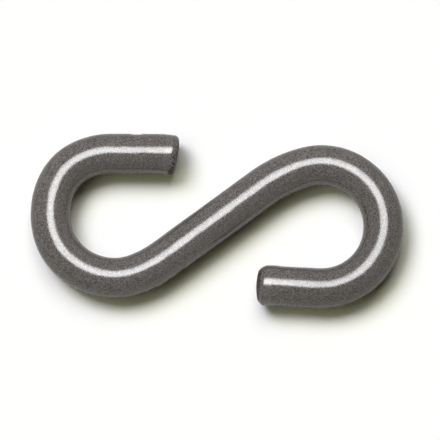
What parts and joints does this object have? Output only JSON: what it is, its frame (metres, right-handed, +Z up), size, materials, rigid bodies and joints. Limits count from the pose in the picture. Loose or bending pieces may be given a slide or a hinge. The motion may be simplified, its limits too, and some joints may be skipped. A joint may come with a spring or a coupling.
{
  "type": "s hook",
  "caption": "Stout round steel bar bent into an S, with a nearly closed hook at each end of a slanting shank and plain sheared ends.",
  "frame": {"origin": "under the middle of the shank, at the height of the bar's lowest line, so the hook lies flat on z = 0", "axes": "+X along the hook's length from one eye to the other, +Y across the hook in the plane of its bends, +Z up, square to that plane"},
  "size_m": [0.0748, 0.0351, 0.008],
  "materials": {
    "bare_steel": "bare dark grey drawn steel, satin, with fine draw lines"
  },
  "bodies": {
    "root": {"s_hook": "bare_steel"}
  },
  "joints": []
}
